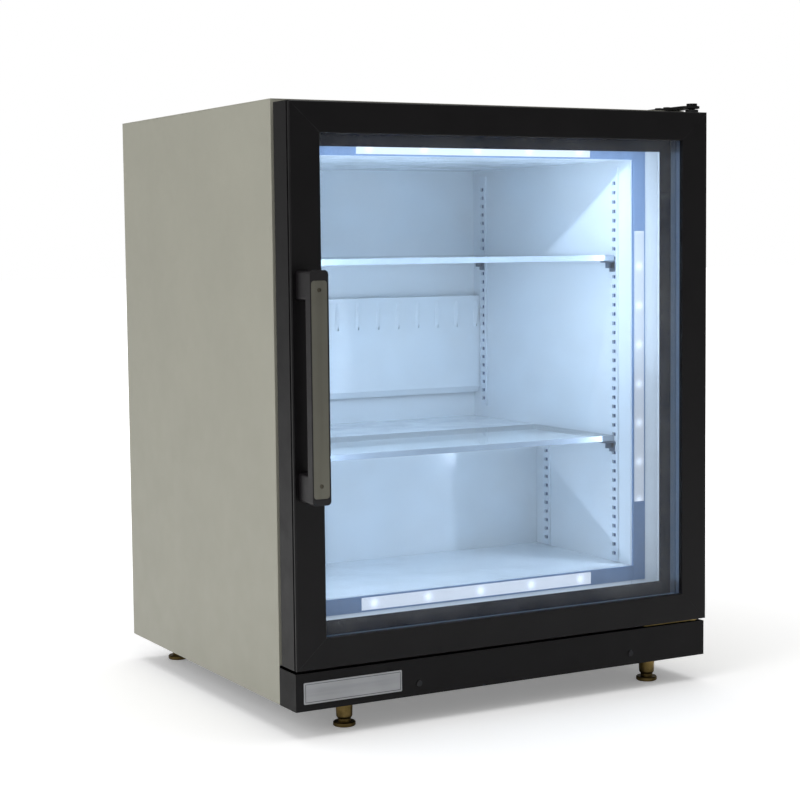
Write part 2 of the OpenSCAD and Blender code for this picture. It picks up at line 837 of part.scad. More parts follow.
module foot(i) {
    p = foot_places()[i];
    stud = pan_z[0] - 1;
    color(brass) place() translate([p[0], p[1], -foot_h]) rotate_extrude() polygon([
        [0, 0], [foot_r - 1, 0], [foot_r, 1], [foot_r, 4.5], [foot_r - 1, 5.5], [8, 5.5], [8, 9],
        [10, 12], [10.5, foot_h - 9], [10.5, foot_h - 0.3], [stud_r, foot_h - 0.3],
        [stud_r, foot_h + stud], [0, foot_h + stud]
    ]);
}

module foot_front_left() {
    foot(0);
}

module foot_front_right() {
    foot(1);
}

module foot_rear_left() {
    foot(2);
}

module foot_rear_right() {
    foot(3);
}

// ---- Door ----

// Section of a frame member: x from its outer edge inwards, y from the face of the door
module member_section(w) {
    difference() {
        polygon([
            [1.2, 0], [w - 0.8, 0], [w, 0.8], [w, glaze_y], [w - glaze_in, glaze_y],
            [w - glaze_in, glaze_y + glass_t], [w, glaze_y + glass_t], [w, door_t], [0, door_t],
            [0, 7.5], [1.4, 7.5], [1.4, 4], [0, 4], [0, 1.2]
        ]);
        translate([3, 10]) square([w - glaze_in - 6, door_t - 13]);
    }
}

// An upright member with both ends mitred towards the opening
module stile() {
    difference() {
        translate([0, 0, door_z]) linear_extrude(door_h) member_section(stile_w);
        mitre_cut(1, door_z);
        mitre_cut(-1, door_top);
    }
}

// Everything past the mitre plane that runs from the outer corner to the inner one
module mitre_cut(side, z) {
    past = stile_w + 20;
    translate([0, -1, z]) rotate([90, 0, 0]) mirror([0, 0, 1]) linear_extrude(door_t + 2)
        polygon([[0, 0], [past, side * rail_w * past / stile_w], [past, -side * 50], [-1, -side * 50]]);
}

// A level member: its section stands on its outer edge
module rail() {
    past = rail_w + 20;
    difference() {
        rotate([90, 0, 90]) linear_extrude(cab_w)
            mirror([1, 0]) rotate(90) member_section(rail_w);
        for (m = [0, 1]) translate([m * cab_w, -1, 0]) mirror([m, 0, 0]) rotate([90, 0, 0])
            mirror([0, 0, 1]) linear_extrude(door_t + 2)
                polygon([[0, 0], [stile_w * past / rail_w, past], [-50, past], [-50, -1], [0, -1]]);
    }
}

// The upright bores for the hinge bush at the top and the closer at the bottom
module hinge_bores() {
    translate([hinge_x, hinge_y, door_top - 20]) cylinder(r = bush_r, h = 21);
    translate([hinge_x, hinge_y, door_z - 1]) cylinder(r = bush_r, h = 101);
}

module door_stile_handle() {
    color(black) place() difference() {
        stile();
        for (z = handle_screw_z()) rod_y(16, z, [-1, door_t - 10], 2.6);
    }
}

module door_stile_hinge() {
    color(black) place() difference() {
        translate([cab_w, 0, 0]) mirror([1, 0, 0]) stile();
        hinge_bores();
    }
}

module door_rail_bottom() {
    color(black) place() difference() {
        translate([0, 0, door_z]) rail();
        hinge_bores();
    }
}

module door_rail_top() {
    color(black) place() difference() {
        translate([0, 0, door_top]) mirror([0, 0, 1]) rail();
        hinge_bores();
    }
}

// An L-shaped block in the hollow of two members at each corner
module corner_key(x, z, mx, mz) {
    arm = 55;
    sw = stile_w - glaze_in - 8;
    rw = rail_w - glaze_in - 6.2;
    translate([x, 10.1, z]) mirror([mx, 0, 0]) mirror([0, 0, mz]) {
        translate([3.1, 0, 3.1]) cube([arm, door_t - 13.2, rw]);
        translate([3.1, 0, 3.1]) cube([sw, door_t - 13.2, arm]);
    }
}

module corner_keys() {
    color([0.6, 0.61, 0.62]) place() difference() {
        for (mx = [0, 1], mz = [0, 1]) corner_key(mx * cab_w, mz ? door_top : door_z, mx, mz);
        hinge_bores();
    }
}

module hinge_bush() {
    color([0.9, 0.9, 0.86]) place() translate([hinge_x, hinge_y, door_top - 20]) difference() {
        union() {
            cylinder(r = bush_r, h = 20);
            translate([0, 0, 20]) cylinder(r = 8.5, h = 4);
        }
        translate([0, 0, 2]) cylinder(r = pin_r + pin_clear, h = 30);
    }
}

// The closing spring's barrel; it turns on the lower pin
module closer_cartridge() {
    color(zinc) place() translate([hinge_x, hinge_y, door_z]) difference() {
        cylinder(r = bush_r, h = 100);
        translate([0, 0, -1]) cylinder(r = pin_r + pin_clear, h = 24);
    }
}

module glass_panes() {
    color([0.75, 0.85, 0.88, 0.3]) place() for (i = [0 : 2]) {
        y = glaze_y + i * (pane_t + pane_gap);
        slab(glass_x, [y + 0.02, y + pane_t - 0.02], glass_z);
    }
}

module glass_spacers() {
    w = 6;
    color([0.7, 0.74, 0.78]) place() for (i = [0, 1]) {
        y = glaze_y + pane_t + i * (pane_t + pane_gap);
        difference() {
            slab(glass_x, [y, y + pane_gap], glass_z);
            slab(
                [glass_x[0] + w, glass_x[1] - w], [y - 1, y + pane_gap + 1],
                [glass_z[0] + w, glass_z[1] - w]
            );
        }
    }
}

// Four lengths of magnetic seal on the back of the frame, meeting at open mitres
module door_gasket() {
    w = 14;
    inset = 6;
    y = [door_t + join, cab_y - 1];
    x = [inset, cab_w - inset];
    z = [door_z + inset, door_top - inset];
    color([0.12, 0.12, 0.12]) place() {
        both_sides() slab([x[0], x[0] + w], y, z);
        for (zz = [[z[0], z[0] + w], [z[1] - w, z[1]]])
            slab([x[0] + w + join, x[1] - w - join], y, zz);
    }
}

// ---- Handle: a bar on two posts, with an insert let into its face ----

function handle_screw_z() = [handle_z + 23, handle_z + handle_len - 23];

module handle_body() {
    x = [4, 4 + handle_w];
    bar_t = 12;
    z = [handle_z, handle_z + handle_len];
    post = 35;
    color(black) place() difference() {
        union() {
            round_plate(x, z, -handle_out, bar_t, 5);
            for (pz = [[z[0] + 1, z[0] + post], [z[1] - post, z[1] - 1]])
                round_plate([x[0] + 2, x[1] - 2], pz, -handle_out + bar_t - 1, handle_out - bar_t + 1, 3);
        }
        round_plate([x[0] + 1.6, x[1] - 1.6], [z[0] + 8, z[1] - 12], -handle_out - 1, 3, 4);
        for (sz = handle_screw_z()) rod_y(16, sz, [-handle_out, 1], 2.6);
    }
}

module handle_insert() {
    x = [5.7, 4 + handle_w - 1.7];
    color([0.37, 0.36, 0.31]) place() difference() {
        round_plate(x, [handle_z + 8.1, handle_z + handle_len - 12.1], -handle_out + 0.2, 1.8, 4);
        for (sz = handle_screw_z()) rod_y(16, sz, [-handle_out - 1, 1], 2.6);
    }
}

module handle_screws() {
    color([0.45, 0.44, 0.4]) place() for (sz = handle_screw_z()) {
        rod_y(16, sz, [-handle_out + 1, door_t - 12], 2.5);
    }
}

side_panel_left();
side_panel_right();
top_panel();
back_panel();
bottom_panels();
base_frame();
kick_plate();
badge_plate();
front_frame();
liner_panels();
foam_insulation();
pilasters();
shelf_clips();
led_channels();
led_boards();
led_lenses();
evaporator_cover();
evaporator_coil();
evaporator_fan_motor();
evaporator_fan_blade();
drain_tube();
condensate_pan();
compressor();
compressor_grommets();
condenser_coil();
fan_shroud();
condenser_fan_motor();
condenser_fan_blade();
filter_drier();
refrigerant_tubes();
control_box();
cord_gland();
thermostat_knob();
light_switch();
rear_grille();
top_hinge_bracket();
bottom_hinge_bracket();
cabinet_screws();
foot_sockets();
foot_front_left();
foot_front_right();
foot_rear_left();
foot_rear_right();
shelf_upper();
shelf_lower();
door_stile_handle();
door_stile_hinge();
door_rail_top();
door_rail_bottom();
corner_keys();
hinge_bush();
closer_cartridge();
glass_panes();
glass_spacers();
door_gasket();
handle_body();
handle_insert();
handle_screws();
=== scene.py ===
"""Looks of a countertop glass door merchandiser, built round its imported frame. All sizes are metres."""
import math

import bmesh
import bpy
from mathutils import Matrix, Vector


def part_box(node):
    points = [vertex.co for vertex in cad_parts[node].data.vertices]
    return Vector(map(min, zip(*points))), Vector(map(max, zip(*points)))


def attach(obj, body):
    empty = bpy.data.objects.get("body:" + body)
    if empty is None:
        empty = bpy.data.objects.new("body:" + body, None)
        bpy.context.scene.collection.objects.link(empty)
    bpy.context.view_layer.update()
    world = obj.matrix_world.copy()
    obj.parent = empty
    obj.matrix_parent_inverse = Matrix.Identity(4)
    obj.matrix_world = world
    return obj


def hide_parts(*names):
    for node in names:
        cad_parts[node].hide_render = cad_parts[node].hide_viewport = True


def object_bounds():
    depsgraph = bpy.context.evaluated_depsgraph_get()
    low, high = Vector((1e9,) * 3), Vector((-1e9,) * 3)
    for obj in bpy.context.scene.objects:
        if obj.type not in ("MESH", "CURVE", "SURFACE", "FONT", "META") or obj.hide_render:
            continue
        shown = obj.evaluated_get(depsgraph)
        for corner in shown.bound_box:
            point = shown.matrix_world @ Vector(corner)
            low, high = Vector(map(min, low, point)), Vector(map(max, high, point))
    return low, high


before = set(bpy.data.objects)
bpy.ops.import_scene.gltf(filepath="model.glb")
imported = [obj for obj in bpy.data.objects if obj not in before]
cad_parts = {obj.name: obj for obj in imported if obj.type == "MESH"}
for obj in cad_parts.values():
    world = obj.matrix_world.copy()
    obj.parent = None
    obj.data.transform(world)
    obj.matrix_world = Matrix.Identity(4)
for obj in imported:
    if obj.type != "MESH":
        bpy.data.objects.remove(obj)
cad_low, cad_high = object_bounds()

MM = 0.001
LINER_WALL = 2 * MM
BLUE_WHITE = (0.68, 0.79, 1.0)
SOFT_BLUE_WHITE = (0.70, 0.83, 1.0)
RIM_WHITE = (0.92, 0.93, 1.0)


# ---------------------------------------------------------------- materials


def srgb(red, green, blue):
    """A display colour in 0 to 255 steps as linear red, green, blue."""
    parts = [c / 255 for c in (red, green, blue)]
    return tuple(c / 12.92 if c < 0.04045 else ((c + 0.055) / 1.055) ** 2.4 for c in parts)


class Look:
    """One Principled material that is being wired, with its patterns in object space."""

    def __init__(self, name, colour, roughness, metallic=0.0, **sockets):
        self.material = bpy.data.materials.new(name)
        self.material.use_nodes = True
        self.tree = self.material.node_tree
        self.shader = self.tree.nodes["Principled BSDF"]
        self.shader.inputs["Base Color"].default_value = (*colour, 1)
        self.shader.inputs["Roughness"].default_value = roughness
        self.shader.inputs["Metallic"].default_value = metallic
        for socket, value in sockets.items():
            self.shader.inputs[socket.replace("_", " ")].default_value = value
        self.coords = self.node("ShaderNodeTexCoord").outputs["Object"]
        self.normal = None

    def node(self, kind, **settings):
        made = self.tree.nodes.new(kind)
        for key, value in settings.items():
            setattr(made, key, value)
        return made

    def link(self, source, target):
        self.tree.links.new(source, target)

    def stretched(self, stretch):
        mapping = self.node("ShaderNodeMapping")
        mapping.inputs["Scale"].default_value = stretch
        self.link(self.coords, mapping.inputs["Vector"])
        return mapping.outputs["Vector"]

    def noise(self, scale, detail=2.0, stretch=(1, 1, 1)):
        """Soft noise with features of about 1/scale metres."""
        made = self.node("ShaderNodeTexNoise")
        made.inputs["Scale"].default_value = scale
        made.inputs["Detail"].default_value = detail
        self.link(self.stretched(stretch), made.inputs["Vector"])
        return made.outputs["Fac"]

    def cells(self, scale, stretch=(1, 1, 1), output="Distance"):
        """Cells of about 1/scale metres."""
        made = self.node("ShaderNodeTexVoronoi")
        made.inputs["Scale"].default_value = scale
        self.link(self.stretched(stretch), made.inputs["Vector"])
        return made.outputs[output]

    def maths(self, operation, first, second=0.0):
        made = self.node("ShaderNodeMath", operation=operation)
        for socket, value in zip(made.inputs, (first, second)):
            if isinstance(value, (int, float)):
                socket.default_value = value
            else:
                self.link(value, socket)
        return made.outputs[0]

    def spread(self, pattern, low, high, start=0.3, stop=0.7):
        made = self.node("ShaderNodeMapRange")
        made.inputs["From Min"].default_value = start
        made.inputs["From Max"].default_value = stop
        made.inputs["To Min"].default_value = low
        made.inputs["To Max"].default_value = high
        self.link(pattern, made.inputs["Value"])
        return made.outputs["Result"]

    def mix(self, factor, first, second):
        """A colour mix; each end is a colour or a socket."""
        made = self.node("ShaderNodeMix", data_type="RGBA")
        self.link(factor, made.inputs["Factor"])
        for socket, value in ((made.inputs[6], first), (made.inputs[7], second)):
            if isinstance(value, tuple):
                socket.default_value = (*value, 1)
            else:
                self.link(value, socket)
        return made.outputs[2]

    def tint(self, pattern, dark, light, start=0.35, stop=0.65):
        colour = self.mix(self.spread(pattern, 0, 1, start, stop), dark, light)
        self.link(colour, self.shader.inputs["Base Color"])
        return colour

    def gloss(self, pattern, low, high):
        self.link(self.spread(pattern, low, high), self.shader.inputs["Roughness"])

    def relief(self, pattern, depth, strength=1.0):
        """Adds bump whose full height is depth metres."""
        bump = self.node("ShaderNodeBump")
        bump.inputs["Strength"].default_value = strength
        bump.inputs["Distance"].default_value = depth
        self.link(pattern, bump.inputs["Height"])
        if self.normal is not None:
            self.link(self.normal, bump.inputs["Normal"])
        self.normal = bump.outputs["Normal"]
        self.link(self.normal, self.shader.inputs["Normal"])

    def edge_wear_and_sheen(self, colour, wear_and_sheen, radius):
        """Lightens the colour along sharp edges, in patches: partly wear where the finish rubs thin, partly a
        painted sheen standing in for the light that edges catch.
        """
        bevel = self.node("ShaderNodeBevel", samples=4)
        bevel.inputs["Radius"].default_value = radius
        geometry = self.node("ShaderNodeNewGeometry")
        dot = self.node("ShaderNodeVectorMath", operation="DOT_PRODUCT")
        self.link(bevel.outputs["Normal"], dot.inputs[0])
        self.link(geometry.outputs["Normal"], dot.inputs[1])
        # Partly painted sheen: this edge mask lightens the colour where edges would catch the light.
        edge = self.spread(dot.outputs["Value"], 1, 0, 0.80, 0.985)
        patches = self.spread(self.noise(60, 3), 0.15, 1, 0.4, 0.6)
        mixed = self.mix(self.maths("MULTIPLY", edge, patches), colour, wear_and_sheen)
        self.link(mixed, self.shader.inputs["Base Color"])


def scaled(colour, factor):
    return tuple(min(1.0, c * factor) for c in colour)


def paint(name, colour, roughness=0.42, peel=0.00006, spot=0.02, wear_and_sheen=None, shine=0.5):
    """Powder coat: orange peel, slight shade drift and lighter edges, partly rubbed thin and partly a painted
    sheen.
    """
    look = Look(name, colour, roughness, Specular_IOR_Level=shine)
    shade = look.tint(look.noise(9, 4), scaled(colour, 1 - spot), scaled(colour, 1 + spot))
    look.gloss(look.noise(30, 3), roughness - 0.05, roughness + 0.07)
    look.relief(look.noise(420, 1.5), peel)
    look.relief(look.noise(1500, 1), peel * 0.25)
    if wear_and_sheen:
        look.edge_wear_and_sheen(shade, wear_and_sheen, 0.0008)
    return look.material


def plastic(name, colour, roughness=0.4, grain=0.00002, spot=0.03, **sockets):
    """Moulded plastic with a fine spark-eroded grain."""
    look = Look(name, colour, roughness, 0.0, **sockets)
    look.tint(look.noise(12, 3), scaled(colour, 1 - spot), scaled(colour, 1 + spot))
    look.gloss(look.noise(45, 3), roughness - 0.05, roughness + 0.06)
    look.relief(look.cells(1600), grain)
    return look.material


def metal(name, colour, roughness=0.3, stretch=(1, 1, 1), spot=0.08, scratch=0.00001):
    """Bare metal, drawn or brushed along the axis that stretch leaves short."""
    look = Look(name, colour, roughness, 1.0)
    look.tint(look.noise(90, 4, stretch), scaled(colour, 1 - spot), scaled(colour, 1 + spot))
    look.gloss(look.noise(35, 4), roughness - 0.08, roughness + 0.10)
    look.relief(look.noise(700, 2, stretch), scratch)
    return look.material


def rubber(name, colour, roughness=0.7):
    """Matt rubber with a grey bloom and a fine skin."""
    look = Look(name, colour, roughness, Specular_IOR_Level=0.2)
    look.tint(look.noise(40, 4), colour, scaled(colour, 1.9), 0.45, 0.75)
    look.gloss(look.noise(60, 3), roughness - 0.1, roughness + 0.1)
    look.relief(look.noise(900, 2), 0.00003)
    return look.material


def galvanised(name):
    """Hot-dip zinc with its spangle."""
    look = Look(name, (0.55, 0.57, 0.59), 0.42, 1.0)
    spangle = look.cells(110, (1, 1, 1), "Color")
    split = look.node("ShaderNodeSeparateColor")
    look.link(spangle, split.inputs[0])
    look.tint(split.outputs[0], (0.50, 0.52, 0.54), (0.61, 0.63, 0.65), 0, 1)
    look.link(look.spread(split.outputs[1], 0.36, 0.48, 0, 1), look.shader.inputs["Roughness"])
    look.relief(look.cells(110), 0.00002)
    return look.material


def liner_white(name):
    """Glossy white liner, a little wavy as rolled sheet is."""
    colour = (0.80, 0.84, 0.88)
    look = Look(name, colour, 0.16)
    look.tint(look.noise(5, 3), scaled(colour, 0.97), scaled(colour, 1.03))
    look.gloss(look.noise(25, 3), 0.11, 0.22)
    look.relief(look.noise(14, 1), 0.0012, 0.35)
    look.relief(look.noise(500, 2), 0.00002)
    return look.material


def foam_yellow(name):
    colour = (0.72, 0.58, 0.30)
    look = Look(name, colour, 0.9)
    look.tint(look.noise(30, 5), scaled(colour, 0.8), scaled(colour, 1.1))
    look.relief(look.cells(500), 0.0005)
    return look.material


def copper_tube(name):
    look = Look(name, (0.75, 0.36, 0.20), 0.28, 1.0)
    look.tint(look.noise(45, 5), (0.42, 0.19, 0.11), (0.86, 0.45, 0.27), 0.3, 0.6)
    look.gloss(look.noise(60, 4), 0.2, 0.42)
    look.relief(look.noise(500, 2), 0.00002)
    return look.material


def chromate(name, olive, straw, roughness=0.32):
    """Passivated zinc: its film drifts between straw and olive."""
    look = Look(name, straw, roughness, 1.0)
    look.tint(look.noise(55, 4), olive, straw, 0.35, 0.62)
    look.gloss(look.noise(80, 4), roughness - 0.08, roughness + 0.14)
    look.relief(look.noise(600, 2), 0.00002)
    return look.material


def finned(name, colour, metallic, roughness):
    """Coil stock with the fine lines of its fins."""
    look = Look(name, colour, roughness, metallic)
    look.tint(look.noise(70, 4), scaled(colour, 0.8), scaled(colour, 1.1))
    look.gloss(look.noise(40, 3), roughness - 0.05, roughness + 0.15)
    look.relief(look.noise(600, 2, (1, 1, 0.1)), 0.00005)
    return look.material


def clear_glass(name, colour, opacity, gloss=0.4, roughness=0.02, ior=1.45):
    """Flat glass: light goes through, with the gloss that glass has at its angle."""
    look = Look(name, colour, roughness, 0.0, IOR=ior)
    look.gloss(look.noise(8, 3), roughness, roughness + 0.02)
    clear = look.node("ShaderNodeBsdfTransparent")
    clear.inputs["Color"].default_value = (*colour, 1)
    fresnel = look.node("ShaderNodeFresnel")
    fresnel.inputs["IOR"].default_value = ior
    smear = look.spread(look.noise(18, 4), opacity, opacity + 0.015, 0.35, 0.75)
    share = look.maths("ADD", look.maths("MULTIPLY", fresnel.outputs[0], gloss), smear)
    mixed = look.node("ShaderNodeMixShader")
    look.link(share, mixed.inputs[0])
    look.link(clear.outputs[0], mixed.inputs[1])
    look.link(look.shader.outputs[0], mixed.inputs[2])
    look.link(mixed.outputs[0], look.tree.nodes["Material Output"].inputs["Surface"])
    return look.material


def ground_edge(name):
    """The ground edge of a glass shelf, with a painted blue glow that stands in for the cabinet's light
    carried along the edge.
    """
    colour = (0.34, 0.40, 0.48)
    look = Look(name, colour, 0.35)
    look.tint(look.noise(60, 3), scaled(colour, 0.92), colour)
    look.gloss(look.noise(200, 3), 0.25, 0.45)
    look.relief(look.noise(900, 2), 0.00003)
    # Painted glow: a faint emission standing in for the cabinet's light along the edge.
    look.shader.inputs["Emission Color"].default_value = (0.75, 0.86, 1.0, 1)
    look.shader.inputs["Emission Strength"].default_value = 0.05
    return look.material


def lit_lens(name, side_pitch, cross_pitch):
    """Frosted lens: an even glow, brighter over each emitter."""
    low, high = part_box("led_lenses")
    middle = (low + high) / 2
    half_lens = 7.9 * MM
    look = Look(name, (0.45, 0.48, 0.52), 0.45)
    look.gloss(look.noise(200, 2), 0.35, 0.5)
    look.relief(look.noise(1200, 2), 0.00002)
    split = look.node("ShaderNodeSeparateXYZ")
    look.link(look.coords, split.inputs[0])
    x = split.outputs["X"]
    z = look.maths("SUBTRACT", split.outputs["Z"], middle.z)
    beside = look.maths("ABSOLUTE", x)
    above = look.maths("ABSOLUTE", z)
    on_side = look.maths("GREATER_THAN", beside, high.x - 2.2 * half_lens)
    along_side = look.maths("PINGPONG", look.maths("ADD", z, side_pitch / 2), side_pitch / 2)
    along_cross = look.maths("PINGPONG", x, cross_pitch / 2)
    off_side = look.maths("SUBTRACT", beside, high.x - half_lens)
    off_cross = look.maths("SUBTRACT", above, high.z - middle.z - half_lens)
    glow_radius = 5.5 * MM
    glows = []
    for along, off in ((along_side, off_side), (along_cross, off_cross)):
        square = look.maths("ADD", look.maths("POWER", along, 2), look.maths("POWER", off, 2))
        glows.append(look.maths("EXPONENT", look.maths("MULTIPLY", square, -1 / glow_radius ** 2)))
    picked = look.maths("ADD", look.maths("MULTIPLY", glows[0], on_side),
                        look.maths("MULTIPLY", glows[1], look.maths("SUBTRACT", 1, on_side)))
    even = look.maths("SUBTRACT", 0.66, look.maths("MULTIPLY", on_side, 0.24))
    strength = look.maths("ADD", look.maths("MULTIPLY", picked, 0.55), even)
    look.link(strength, look.shader.inputs["Emission Strength"])
    look.shader.inputs["Emission Color"].default_value = (0.80, 0.84, 1.0, 1)
    return look.material


def spacer_metal(name):
    """Bright roll-formed spacer with a painted blue glow that stands in for the cabinet's light between the
    panes: on the middle span of the uprights and on the floor member, none on the top member and the upright
    ends.
    """
    low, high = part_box("glass_spacers")
    middle = (low + high) / 2
    shaded_end = 24 * MM
    # The blue of the base colour is painted light: it stands in for the cabinet's blue-white light reflected
    # in the metal.
    look = Look(name, (0.22, 0.29, 0.42), 0.34, 0.5)
    look.tint(look.noise(12, 2), (0.21, 0.28, 0.41), (0.23, 0.30, 0.43))
    look.gloss(look.noise(30, 2), 0.30, 0.38)
    look.relief(look.noise(400, 1, (1, 1, 0.05)), 0.000004)
    split = look.node("ShaderNodeSeparateXYZ")
    look.link(look.coords, split.inputs[0])
    from_middle = look.maths("ABSOLUTE", look.maths("SUBTRACT", split.outputs["Z"], middle.z))
    half = (high.z - low.z) / 2
    lit = look.spread(from_middle, 1, 0, half - shaded_end - 2 * MM, half - shaded_end)
    floor_member = look.maths("LESS_THAN", split.outputs["Z"], low.z + 8 * MM)
    # Painted glow: emission on the lit spans, standing in for light the spacer picks up from the cabinet.
    painted_glow = look.maths("MULTIPLY", look.maths("MAXIMUM", lit, floor_member), 0.07)
    look.link(painted_glow, look.shader.inputs["Emission Strength"])
    look.shader.inputs["Emission Color"].default_value = (0.38, 0.62, 1.0, 1)
    return look.material


def extrusion(name):
    """Matt anodised aluminium with its drawing lines; its blue colour is painted light, standing in for the
    bars' blue-white light on the metal.
    """
    # Painted light: the blue base colour copies how the lit aluminium looks.
    colour = (0.30, 0.42, 0.66)
    look = Look(name, colour, 0.5, 0.2)
    look.tint(look.noise(90, 3, (1, 1, 0.05)), scaled(colour, 0.94), scaled(colour, 1.05))
    look.gloss(look.noise(60, 3), 0.42, 0.58)
    look.relief(look.noise(900, 2, (1, 1, 0.05)), 0.00001)
    return look.material


def printed_black(name):
    """Ceramic frit fired on glass."""
    colour = srgb(22, 29, 52)
    look = Look(name, colour, 0.3, Specular_IOR_Level=0.2)
    look.tint(look.noise(25, 3), scaled(colour, 0.9), scaled(colour, 1.15))
    look.gloss(look.noise(70, 3), 0.16, 0.3)
    look.relief(look.noise(1500, 2), 0.00001)
    return look.material


def make_materials():
    """One material for each finish slot of the record."""
    warm_grey = srgb(157, 156, 143)
    black = (0.006, 0.0055, 0.006)
    return {
        "painted_steel": paint("painted_steel", warm_grey, 0.45, wear_and_sheen=srgb(186, 186, 174)),
        "galvanised_steel": galvanised("galvanised_steel"),
        "black_steel": paint("black_steel", black, 0.42, wear_and_sheen=(0.03, 0.03, 0.032), shine=0.15),
        "satin_badge": metal("satin_badge", (0.36, 0.365, 0.375), 0.36, (0.04, 1, 1)),
        "white_plastic": plastic("white_plastic", (0.74, 0.79, 0.85), 0.35),
        "white_liner": liner_white("white_liner"),
        "foam": foam_yellow("foam"),
        "white_standard": paint("white_standard", (0.72, 0.77, 0.83), 0.35, 0.00003),
        "bright_metal": metal("bright_metal", (0.66, 0.67, 0.68), 0.28),
        "led_extrusion": extrusion("led_extrusion"),
        "led_board": plastic("led_board", (0.82, 0.84, 0.84), 0.3),
        "led_lens": lit_lens("led_lens", 53 * MM, 78.5 * MM),
        "fin_aluminium": finned("fin_aluminium", (0.72, 0.73, 0.74), 1.0, 0.35),
        "motor_black": paint("motor_black", (0.02, 0.02, 0.021), 0.4),
        "fan_plastic": plastic("fan_plastic", (0.12, 0.12, 0.13), 0.45),
        "drain_plastic": plastic("drain_plastic", (0.50, 0.52, 0.54), 0.35),
        "compressor_black": paint("compressor_black", (0.014, 0.014, 0.015), 0.3, wear_and_sheen=(0.06, 0.055, 0.05)),
        "black_rubber": rubber("black_rubber", (0.006, 0.006, 0.0065)),
        "coil_black": finned("coil_black", (0.02, 0.02, 0.021), 0.0, 0.4),
        "fan_aluminium": metal("fan_aluminium", (0.70, 0.71, 0.72), 0.35),
        "copper": copper_tube("copper"),
        "knob_plastic": plastic("knob_plastic", (0.02, 0.02, 0.022), 0.38),
        "red_plastic": plastic("red_plastic", (0.50, 0.02, 0.015), 0.3),
        "yellow_zinc": chromate("yellow_zinc", (0.26, 0.19, 0.07), (0.44, 0.33, 0.13)),
        "foot_bronze": chromate("foot_bronze", (0.12, 0.085, 0.03), (0.27, 0.19, 0.07), 0.36),
        "shelf_glass": clear_glass("shelf_glass", (0.90, 0.95, 0.98), 0.30),
        "door_frame_black": paint("door_frame_black", (0.0045, 0.004, 0.0045), 0.34, 0.00004,
                                  wear_and_sheen=(0.035, 0.035, 0.037), shine=0.2),
        "bush_plastic": plastic("bush_plastic", (0.03, 0.03, 0.032), 0.5),
        "door_glass": clear_glass("door_glass", (0.975, 0.985, 0.985), 0.003, 0.2),
        "spacer_aluminium": spacer_metal("spacer_aluminium"),
        "handle_black": plastic("handle_black", (0.007, 0.006, 0.007), 0.36, 0.00003,
                                Specular_IOR_Level=0.35),
        "handle_bronze": metal("handle_bronze", srgb(118, 117, 107), 0.42, (1, 1, 0.04)),
        "handle_screw": metal("handle_screw", srgb(90, 86, 76), 0.35),
    }


def dress_cad_nodes(materials):
    """Gives each CAD node the material of its own finish slot."""
    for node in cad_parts.values():
        for holder in node.material_slots:
            holder.material = materials[holder.material.name.split(".")[0]]
    blackened = metal("blackened_screw", (0.035, 0.035, 0.037), 0.4)
    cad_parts["cabinet_screws"].material_slots[0].material = blackened
    # Painted shade: the clips get a dark metal that stands in for the shadow they sit in under the shelves.
    shaded_clip_metal = metal("clip_metal_painted_shade", (0.20, 0.23, 0.28), 0.4)
    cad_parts["shelf_clips"].material_slots[0].material = shaded_clip_metal


# ---------------------------------------------------------------- shapes


def soften(node, width, segments=2):
    """Rounds a CAD node's sharp edges as the real part's forming does."""
    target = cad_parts[node]
    weld = target.modifiers.new("weld", "WELD")
    weld.merge_threshold = 0.000005
    flat = target.modifiers.new("whole_faces", "DECIMATE")
    flat.decimate_type = "DISSOLVE"
    flat.angle_limit = math.radians(0.5)
    bevel = target.modifiers.new("round_edges", "BEVEL")
    bevel.width = width
    bevel.segments = segments
    bevel.limit_method = "ANGLE"
    bevel.angle_limit = math.radians(40)
    bevel.use_clamp_overlap = True
    target.modifiers.new("even_shading", "WEIGHTED_NORMAL")


def piece(name, bm, material, body, flat=False):
    """Turns a bmesh into a piece that rides on a body."""
    bmesh.ops.recalc_face_normals(bm, faces=bm.faces)
    mesh = bpy.data.meshes.new(name)
    bm.to_mesh(mesh)
    bm.free()
    if not flat:
        mesh.shade_smooth()
        mesh.set_sharp_from_angle(angle=math.radians(35))
    made = bpy.data.objects.new(name, mesh)
    bpy.context.scene.collection.objects.link(made)
    made.data.materials.append(material)
    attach(made, body)
    return made


def add_ring(bm, low, high, profile):
    """Sweeps a closed profile of (inset, y) points round a rectangle in X and Z with mitred corners."""
    corners = (
        (low.x, low.z, 1, 1), (high.x, low.z, -1, 1), (high.x, high.z, -1, -1), (low.x, high.z, 1, -1),
    )
    rings = [[bm.verts.new((x + u * inset, y, z + v * inset)) for inset, y in profile]
             for x, z, u, v in corners]
    count = len(profile)
    for first, second in zip(rings, rings[1:] + rings[:1]):
        for i in range(count):
            j = (i + 1) % count
            bm.faces.new((first[i], first[j], second[j], second[i]))


def add_box(bm, low, high, rounding=0.0):
    """A box between two corners, with its edges rounded."""
    made = bmesh.ops.create_cube(bm, size=1.0)["verts"]
    size = Vector(high) - Vector(low)
    middle = (Vector(high) + Vector(low)) / 2
    bmesh.ops.scale(bm, vec=size, verts=made)
    bmesh.ops.translate(bm, vec=middle, verts=made)
    if rounding:
        edges = {e for v in made for e in v.link_edges}
        bmesh.ops.bevel(bm, geom=list(edges), offset=rounding, segments=2, profile=0.5, affect="EDGES")


